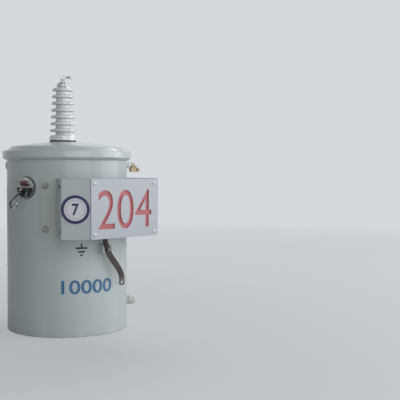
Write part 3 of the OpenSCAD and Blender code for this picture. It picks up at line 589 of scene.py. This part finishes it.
dress(blacking, "breaker_housing", "breaker_hub")
ruby = Finish("red_lens", Coat_Weight=0.5, Coat_Roughness=0.1, Roughness=0.3, Specular_IOR_Level=0.5)
glow = ruby.noise(70, detail=2).between(0.35, 0.65)
ruby.shade(Base_Color=ruby.mix(glow, (0.045, 0.003, 0.006), (0.11, 0.008, 0.013)))
ruby.bump(ruby.noise(300, detail=1), 0.00005, strength=0.3)
dress(ruby, "signal_lens")


def dome(name, finish, radius, rise):
    """A rivet or screw head that bulges from the origin towards -Y."""
    alone()
    bpy.ops.mesh.primitive_uv_sphere_add(segments=24, ring_count=12, radius=radius,
                                         rotation=(math.radians(90), 0, 0))
    piece = made(name, finish)
    with shaping(piece):
        bpy.ops.mesh.bisect(plane_co=(0, 0, 0), plane_no=(0, 1, 0), clear_outer=True, use_fill=True)
        bpy.ops.mesh.select_all(action="SELECT")
        bpy.ops.transform.resize(value=(1, rise / radius, 1), center_override=(0, 0, 0))
    return piece


joints = frame["record"]["behaviour"]["joints"]
lever_joint = next(joint for joint in joints if joint["child"] == "lever")
breaker_az = azimuth_of(lever_joint["pos_m"])
breaker_face = Matrix.Rotation(-math.radians(breaker_az), 3, "Z")


def from_breaker(node):
    """A CAD node's lowest and highest corners across, inward and up in the breaker's own frame."""
    corners = [breaker_face @ v.co for v in frame["nodes"][node].data.vertices]
    return [Vector(end(c[i] for c in corners) for i in range(3)) for end in (min, max)]


housing_low, housing_high = from_breaker("breaker_housing")
lens_low, lens_high = from_breaker("signal_lens")
lens_r = (lens_high.z - lens_low.z) / 2
lens_reach = (lens_high.x - lens_low.x) / 2 - lens_r
alone()
bpy.ops.mesh.primitive_cylinder_add(vertices=64, radius=lens_r + LENS_EDGE, depth=BEZEL_THICK,
                                    rotation=(math.radians(90), 0, 0))
bezel = made("lens_bezel", chrome)
with shaping(bezel) as mesh:
    for side in (-1, 1):
        pick(bezel, mesh.verts, lambda v: v.co.x * side > 0.00001)
        bpy.ops.transform.translate(value=(side * lens_reach, 0, 0))
hollow(bezel, LENS_EDGE)
modify(bezel, "BEVEL", width=BEZEL_ROUND, segments=2, limit_method="ANGLE")
settle(bezel, ((lens_low.x + lens_high.x) / 2, 0, 0))
cup_floor = -housing_high.y - TANK_R
on_wall(bezel, breaker_az, (lens_low.z + lens_high.z) / 2, out=cup_floor + BEZEL_THICK / 2)
fits(bezel)
flange_middle = centre_of("breaker_flange").z
rivets = []
for across_in, up_in in RIVET_PLACES:
    rivet = dome("housing_rivet", blacking, RIVET_R, RIVET_RISE)
    settle(rivet, (across_in, 0, 0))
    rivets.append(on_wall(rivet, breaker_az, flange_middle + up_in, out=-housing_low.y - TANK_R))
fits(joined("housing_rivets", rivets))
lever_face = from_breaker("breaker_lever")[0].y
pivot_screw = dome("lever_pivot_screw", polish, PIVOT_SCREW_R, PIVOT_SCREW_RISE)
on_wall(pivot_screw, breaker_az, lever_joint["pos_m"][2], out=-lever_face - TANK_R)
fits(pivot_screw, "lever")

# Brackets and sign hood
# Two folded brackets stand on studs on the wall and carry a folded sheet hood. All are sprayed in the tank's
# grey, the brackets in a greener batch. Their domed nuts have a darker copy of the paint, as painted shade,
# and the hood's bolts are steel with a rust film, painted dark all over as the shade they sit in.
bracket_enamel = enamel("bracket_enamel", (0.51, 0.56, 0.55), (0.48, 0.525, 0.515))
# The nuts' darker enamel is painted shade on the bracket's own paint.
nut_enamel_painted_shade = enamel("nut_enamel_painted_shade", (0.30, 0.325, 0.32), (0.36, 0.39, 0.385), roughness=0.3)
dress(bracket_enamel, "left_bracket", "right_bracket")
dress(grey_enamel, "sign_hood")
dress(nut_enamel_painted_shade, "bracket_nuts")
# The bolts' dark base tone is painted shade; the rust film spotted over it is their own.
bolt_steel_painted_shade = Finish("weathered_steel_painted_shade", Metallic=0.7)
rust_film = bolt_steel_painted_shade.noise(210, detail=4).between(0.42, 0.66)
bolt_tone_painted_shade = bolt_steel_painted_shade.mix(rust_film, (0.20, 0.205, 0.21), (0.12, 0.115, 0.11))
bolt_steel_painted_shade.shade(Base_Color=bolt_tone_painted_shade, Roughness=0.42 + rust_film * 0.2)
bolt_steel_painted_shade.bump(bolt_steel_painted_shade.noise(700, detail=3), 0.0001, strength=0.4, edge=0.0005)
dress(bolt_steel_painted_shade, "hood_bolts")

# Sign board
# A pale board with rounded corners, screwed to the hood. Its large numerals are routed into the face and
# enamelled red inside, so their walls show from the side.
BOARD_CORNER = 0.006
NUMERAL_TALL = 0.121
NUMERAL_WIDE = 0.218
NUMERAL_SHIFT = 0.0005
NUMERAL_DROP = 0.003
NUMERAL_SKIN = 0.0004
pale_enamel = enamel("pale_enamel", (0.455, 0.485, 0.53), (0.43, 0.46, 0.505), roughness=0.42)
red_enamel = enamel("red_enamel", (0.46, 0.12, 0.132), (0.42, 0.108, 0.12), roughness=0.4)
screw_zinc = Finish("bright_zinc", Metallic=0.4, Roughness=0.45)
blue_film = screw_zinc.noise(300, detail=3).between(0.4, 0.65)
screw_zinc.shade(Base_Color=screw_zinc.mix(blue_film, (0.56, 0.60, 0.66), (0.44, 0.48, 0.54)))
screw_zinc.bump(screw_zinc.noise(700, detail=2), 0.00006, strength=0.4)
dress(screw_zinc, "sign_screws")


def written(name, words, finish, wide, tall, deep, bold=0.0):
    """Generic numerals as a solid of this size, standing upright at the origin and facing -Y."""
    alone()
    bpy.ops.object.text_add(rotation=(math.radians(90), 0, 0))
    letters = bpy.context.object.data
    letters.body = words
    letters.align_x = "CENTER"
    letters.offset = bold
    letters.extrude = 0.5
    bpy.ops.object.convert(target="MESH")
    piece = made(name, finish)
    with shaping(piece):
        bpy.ops.mesh.remove_doubles(threshold=0.0001)
        bpy.ops.mesh.normals_make_consistent(inside=False)
    low = Vector(min(v.co[i] for v in piece.data.vertices) for i in range(3))
    high = Vector(max(v.co[i] for v in piece.data.vertices) for i in range(3))
    size = high - low
    scale = (wide / size.x, deep / size.y, tall / size.z)
    return settle(piece, Vector(-(low[i] + high[i]) / 2 * scale[i] for i in range(3)), scale=scale)


board_low, board_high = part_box("sign_plate")
board_size = board_high - board_low
alone()
bpy.ops.mesh.primitive_cube_add(size=1, location=(board_low + board_high) / 2, scale=board_size)
board = made("sign_board", pale_enamel)
with shaping(board) as mesh:
    pick(board, mesh.edges, lambda e: abs(e.verts[0].co.y - e.verts[1].co.y) > board_size.y / 2)
    bpy.ops.mesh.bevel(offset=BOARD_CORNER, segments=6)
cut_deep = 2 * (board_size.y - NUMERAL_SKIN)
numerals = written("numerals_cutter", "204", red_enamel, NUMERAL_WIDE, NUMERAL_TALL, cut_deep)
settle(numerals, (NUMERAL_SHIFT, board_low.y, (board_low.z + board_high.z) / 2 - NUMERAL_DROP))
board.data.materials.append(red_enamel.material)
modify(board, "BOOLEAN", object=numerals, solver="EXACT", use_self=True, material_mode="TRANSFER")
bpy.data.objects.remove(numerals)
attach(board, "root")
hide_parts("sign_plate")

# Badge
# A pressed disc on the hood's left face, laid out like a plain dial: a pale enamelled field, a navy ring
# rolled proud of it, a circle of short marks and one numeral.
DISC_THICK = 0.002
RING_WIDE = 0.0090
RING_PROUD = 0.0007
BADGE_NUMERAL = (0.021, 0.036)
MARKS = 36
MARK_WIDE, MARK_TALL = 0.0011, 0.0042
MARK_ROUND = 0.0002
MARK_AT = 0.0285
badge_enamel = enamel("badge_enamel", (0.74, 0.745, 0.79), (0.70, 0.705, 0.75), roughness=0.3)
navy_enamel = enamel("navy_enamel", (0.022, 0.026, 0.105), (0.03, 0.034, 0.12), roughness=0.32)
dress(badge_enamel, "badge_disc")
badge_low, badge_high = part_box("badge_disc")
badge_size = badge_high - badge_low
badge_r = badge_size.z / 2
badge_turn = -math.atan2(badge_size.y, badge_size.x)
badge_out = Vector((math.sin(badge_turn), -math.cos(badge_turn), 0))


def on_badge(piece):
    """Turns a piece that faces -Y to the badge's face, and fits it there."""
    settle(piece, centre_of("badge_disc") + badge_out * (DISC_THICK / 2), (0, 0, badge_turn))
    fits(piece)


def all_round(piece, count):
    """Repeats a piece in even steps round the Y axis, until it stands there this many times."""
    with shaping(piece):
        bpy.ops.mesh.spin(steps=count - 1, dupli=True, angle=math.tau * (count - 1) / count,
                          center=(0, 0, 0), axis=(0, 1, 0))


on_badge(ring("badge_ring", navy_enamel, badge_r, RING_WIDE, 2 * RING_PROUD))
on_badge(written("badge_numeral", "7", navy_enamel, *BADGE_NUMERAL, 2 * RING_PROUD, bold=0.02))
alone()
bpy.ops.mesh.primitive_cube_add(size=1, location=(0, 0, MARK_AT), scale=(MARK_WIDE, RING_PROUD, MARK_TALL))
marks = made("badge_marks", navy_enamel)
with shaping(marks):
    bpy.ops.mesh.bevel(offset=MARK_ROUND, segments=2)
all_round(marks, MARKS)
on_badge(marks)

# Earthing
# A steel pad welded to the wall all round, with a brown copper strap bolted to it and a tinned lug crimped
# on its free end. The strap's colour is painted near black high up, where the hood shades it: painted shade.
STRAP_SHADE_FROM, STRAP_SHADE_TO = 0.255, 0.315
dress(grey_enamel, "earth_pad")
dress(bolt_steel_painted_shade, "earth_bolt")
dress(zinc, "strap_anchor")
copper = Finish("old_copper", Metallic=0.35)
stain = copper.noise(60, detail=4).between(0.4, 0.62)
strap_height = copper.node("ShaderNodeSeparateXYZ", None, {0: copper.place()}, out="Z")
# Painted shade: the strap turns near black between these heights, under the hood.
strap_painted_shade = strap_height.between(STRAP_SHADE_FROM, STRAP_SHADE_TO)
worn = copper.mix(stain, (0.040, 0.031, 0.034), (0.070, 0.050, 0.051))
copper.shade(Base_Color=copper.mix(strap_painted_shade * 0.75, worn, (0.016, 0.014, 0.014)), Roughness=0.5 + stain * 0.12)
copper.bump(copper.noise(420, detail=3), 0.0002, strength=0.4, edge=0.0006)
dress(copper, "earth_strap")
tin = Finish("dull_tin", Metallic=0.6)
wipe = tin.noise(130, detail=4).between(0.4, 0.65)
tin.shade(Base_Color=tin.mix(wipe, (0.095, 0.086, 0.09), (0.165, 0.155, 0.155)),
          Roughness=0.42 + wipe * 0.15)
tin.bump(tin.noise(600, detail=3), 0.00012, strength=0.4, edge=0.0005)
dress(tin, "strap_lug")


def azimuth_at(x):
    """The azimuth at which the front of the wall reaches this far to the side."""
    return math.degrees(math.asin(x / TANK_R))


def side_weld(name, azimuth, low_corner, high_corner):
    """A weld bead that runs up the wall between the heights of two corners."""
    upright_bead = bead(name, grey_enamel, high_corner.z - low_corner.z)
    settle(upright_bead, turn=(0, math.radians(90), 0))
    return on_wall(upright_bead, azimuth, (low_corner.z + high_corner.z) / 2)


pad_low, pad_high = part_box("earth_pad")
pad_az = azimuth_at((pad_low.x + pad_high.x) / 2)
pad_welds = []
for x in (pad_low.x - BEAD_R / 2, pad_high.x + BEAD_R / 2):
    pad_welds.append(side_weld("pad_side_weld", azimuth_at(x), pad_low, pad_high))
for z in (pad_low.z, pad_high.z):
    level_bead = bead("pad_edge_weld", grey_enamel, pad_high.x - pad_low.x)
    pad_welds.append(on_wall(level_bead, pad_az, z, curved=True))
fits(joined("pad_weld", pad_welds))

# Painted marks
# The earth sign in black beside the strap, and one large plain number in blue low on the wall. Both are thin
# enamel, stencilled on the curve of the wall.
MARK_THICK = 0.0006
SIGN_AZ = -23.9
SIGN_TOP = 0.300
SIGN_BARS = (
    (0.0058, 0.014, 0.0070),
    (0.038, 0.0062, 0.0150),
    (0.021, 0.0062, 0.0265),
    (0.0080, 0.0062, 0.0375),
)
NUMBER_AZ = -17.3
NUMBER_Z = 0.1609
NUMBER_WIDE = 0.1744
NUMBER_TALL = 0.0445
CUT_STEP = 0.004
black_enamel = enamel("black_enamel", (0.021, 0.030, 0.040), (0.035, 0.046, 0.057), roughness=0.45)
blue_enamel = enamel("blue_enamel", (0.040, 0.145, 0.285), (0.05, 0.165, 0.31), roughness=0.45)


def stencilled(piece, azimuth, height):
    """Cuts a flat piece across every few millimetres and bends it to the wall."""
    reach = piece.dimensions.x / 2
    with shaping(piece):
        for i in range(1, math.ceil(2 * reach / CUT_STEP)):
            bpy.ops.mesh.select_all(action="SELECT")
            bpy.ops.mesh.bisect(plane_co=(i * CUT_STEP - reach, 0, 0), plane_no=(1, 0, 0))
    on_wall(piece, azimuth, height, curved=True)
    fits(piece)


bars = []
for wide, tall, down in SIGN_BARS:
    alone()
    bpy.ops.mesh.primitive_cube_add(size=1, location=(0, 0, -down), scale=(wide, MARK_THICK, tall))
    bars.append(made("earth_sign_bar", black_enamel))
stencilled(joined("earth_sign", bars), SIGN_AZ, SIGN_TOP)
number = written("wall_number", "10000", blue_enamel, NUMBER_WIDE, NUMBER_TALL, MARK_THICK, bold=0.016)
stencilled(number, NUMBER_AZ, NUMBER_Z)

# Relief valve
# A turned brass valve on a welded boss at the back right, with a pull ring of bent wire.
PULL_RING_R = 0.0085
PULL_RING_WIRE_R = 0.0010
PULL_RING_LEAN = math.radians(78)
PULL_RING_DROP = 0.75 * PULL_RING_R
PULL_RING_OUT = 0.0235
RELIEF_BASE_R = 0.011
dress(brass, "relief_valve")
relief_at = centre_of("relief_valve")
relief_az = azimuth_of(relief_at)
relief_weld = bead("relief_weld", grey_enamel, math.tau * (RELIEF_BASE_R + BEAD_R / 2), closed=True)
fits(on_wall(relief_weld, relief_az, relief_at.z, curved=True))
alone()
bpy.ops.mesh.primitive_torus_add(major_radius=PULL_RING_R, minor_radius=PULL_RING_WIRE_R, major_segments=48,
                                 minor_segments=10, rotation=(PULL_RING_LEAN, 0, 0))
pull_ring = made("relief_pull_ring", zinc)
on_wall(pull_ring, relief_az, relief_at.z - PULL_RING_DROP, out=PULL_RING_OUT)
fits(pull_ring)

# Pole hangers and lifting lugs
# Two bent plates with slots for the pole bolts and two eye plates under the rim, all welded to the wall and
# sprayed with it.
LUG_HALF = 0.004
dress(grey_enamel, "upper_hanger", "lower_hanger", "left_lifting_lug", "right_lifting_lug")
hanger_welds = []
for node in ("upper_hanger", "lower_hanger"):
    foot_low, foot_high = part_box(node)
    for x in (foot_low.x - BEAD_R / 2, foot_high.x + BEAD_R / 2):
        hanger_welds.append(side_weld("hanger_side_weld", 180 - azimuth_at(x), foot_low, foot_high))
fits(joined("hanger_welds", hanger_welds))
lug_welds = []
for mount in frame["record"]["mounts"]:
    if mount["name"] in ("left_lifting_hole", "right_lifting_hole"):
        lug_low, lug_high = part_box(mount["name"].replace("hole", "lug"))
        for side in (-1, 1):
            weld_az = azimuth_of(mount["pos_m"]) + math.degrees(side * (LUG_HALF + BEAD_R / 2) / TANK_R)
            lug_welds.append(side_weld("lug_side_weld", weld_az, lug_low, lug_high))
fits(joined("lug_welds", lug_welds))

# Drain
# A steel boss welded low on the wall, closed by a white moulded cap with grip ribs round its skirt.
BOSS_R = 0.0125
CAP_R = 0.0145
RIB_R = 0.0009
RIB_LONG = 0.0095
RIB_ROUND = 0.0003
RIB_OUT = 0.0153
RIBS = 28
dress(grey_enamel, "drain_boss")
cap_white = Finish("white_cap", Roughness=0.5, Specular_IOR_Level=0.4)
haze = cap_white.noise(90, detail=3).between(0.4, 0.65)
cap_white.shade(Base_Color=cap_white.mix(haze, (0.55, 0.56, 0.56), (0.47, 0.48, 0.48)))
cap_white.bump(cap_white.noise(600, detail=2), 0.00006, strength=0.3, edge=0.0006)
dress(cap_white, "drain_cap")
drain_at = centre_of("drain_cap")
drain_az = azimuth_of(drain_at)
drain_weld = bead("drain_weld", grey_enamel, math.tau * (BOSS_R + BEAD_R / 2), closed=True)
fits(on_wall(drain_weld, drain_az, drain_at.z, curved=True))
alone()
bpy.ops.mesh.primitive_cylinder_add(vertices=8, radius=RIB_R, depth=RIB_LONG, location=(CAP_R, 0, 0),
                                    rotation=(math.radians(90), 0, 0))
cap_ribs = made("cap_ribs", cap_white)
with shaping(cap_ribs):
    bpy.ops.mesh.bevel(offset=RIB_ROUND, segments=1)
all_round(cap_ribs, RIBS)
on_wall(cap_ribs, drain_az, drain_at.z, out=RIB_OUT)
fits(cap_ribs)
